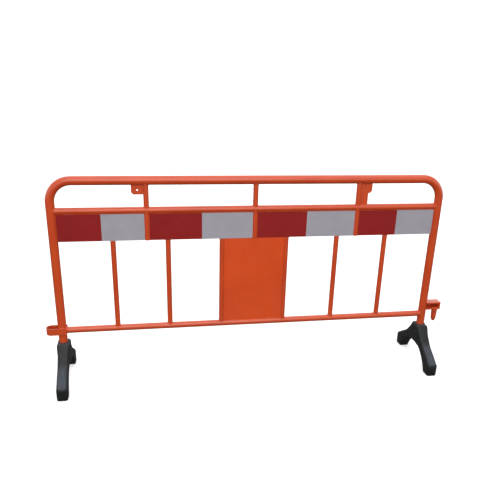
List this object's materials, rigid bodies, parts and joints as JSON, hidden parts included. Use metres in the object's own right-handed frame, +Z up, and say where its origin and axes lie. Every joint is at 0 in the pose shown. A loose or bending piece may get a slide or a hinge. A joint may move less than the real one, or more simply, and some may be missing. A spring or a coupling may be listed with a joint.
{
  "type": "type three barricade",
  "caption": "Orange tubular steel road-works barrier with red and white reflective boards, lamp brackets, end links and swivelling rubber feet.",
  "frame": {"origin": "on the floor, at the centre of the overall box: 8 mm from the point midway between the legs, towards the hook pin's side", "axes": "+X along the barrier from the link eye to the hook pin, +Y away from the side with the reflective sheeting, +Z up"},
  "size_m": [1.992, 0.414, 1],
  "materials": {
    "orange_paint": "semi-gloss orange powder coat on steel tube and strap",
    "painted_sheet": "semi-gloss orange powder coat on sheet steel",
    "red_sheeting": "red prismatic retroreflective film",
    "white_sheeting": "silver-white prismatic retroreflective film",
    "rubber": "moulded black rubber, slightly glossy on its upper faces",
    "zinc": "zinc-plated steel",
    "nylon": "black nylon"
  },
  "bodies": {
    "frame": {"main_frame_tube": "orange_paint", "mid_rail": "orange_paint", "bottom_rail": "orange_paint", "upper_post_left": "orange_paint", "upper_post_centre": "orange_paint", "upper_post_right": "orange_paint", "board_post_left": "orange_paint", "board_post_centre": "orange_paint", "board_post_right": "orange_paint", "reflector_board_1": "painted_sheet", "reflector_board_2": "painted_sheet", "reflector_board_3": "painted_sheet", "reflector_board_4": "painted_sheet", "red_sheeting_1": "red_sheeting", "red_sheeting_2": "red_sheeting", "red_sheeting_3": "red_sheeting", "red_sheeting_4": "red_sheeting", "white_sheeting_1": "white_sheeting", "white_sheeting_2": "white_sheeting", "white_sheeting_3": "white_sheeting", "white_sheeting_4": "white_sheeting", "infill_bar_1": "orange_paint", "infill_bar_2": "orange_paint", "infill_bar_3": "orange_paint", "infill_bar_4": "orange_paint", "infill_bar_5": "orange_paint", "infill_bar_6": "orange_paint", "centre_panel": "painted_sheet", "lamp_bracket_left": "orange_paint", "lamp_bracket_right": "orange_paint", "link_eye": "orange_paint", "hook_strap": "orange_paint", "hook_pin": "orange_paint", "leg_plug_left": "nylon", "leg_plug_right": "nylon", "foot_bolt_left": "zinc", "foot_bolt_right": "zinc", "foot_washer_left": "zinc", "foot_washer_right": "zinc"},
    "foot_left_body": {"foot_left": "rubber"},
    "foot_right_body": {"foot_right": "rubber"}
  },
  "joints": [
    {"name": "foot_left_swivel", "type": "hinge", "parent": "frame", "child": "foot_left_body", "pos_m": [-0.923, 0, 0.124], "axis": [0, 0, 1], "range_deg": [-90, 90]},
    {"name": "foot_right_swivel", "type": "hinge", "parent": "frame", "child": "foot_right_body", "pos_m": [0.907, 0, 0.124], "axis": [0, 0, 1], "range_deg": [-90, 90]}
  ]
}
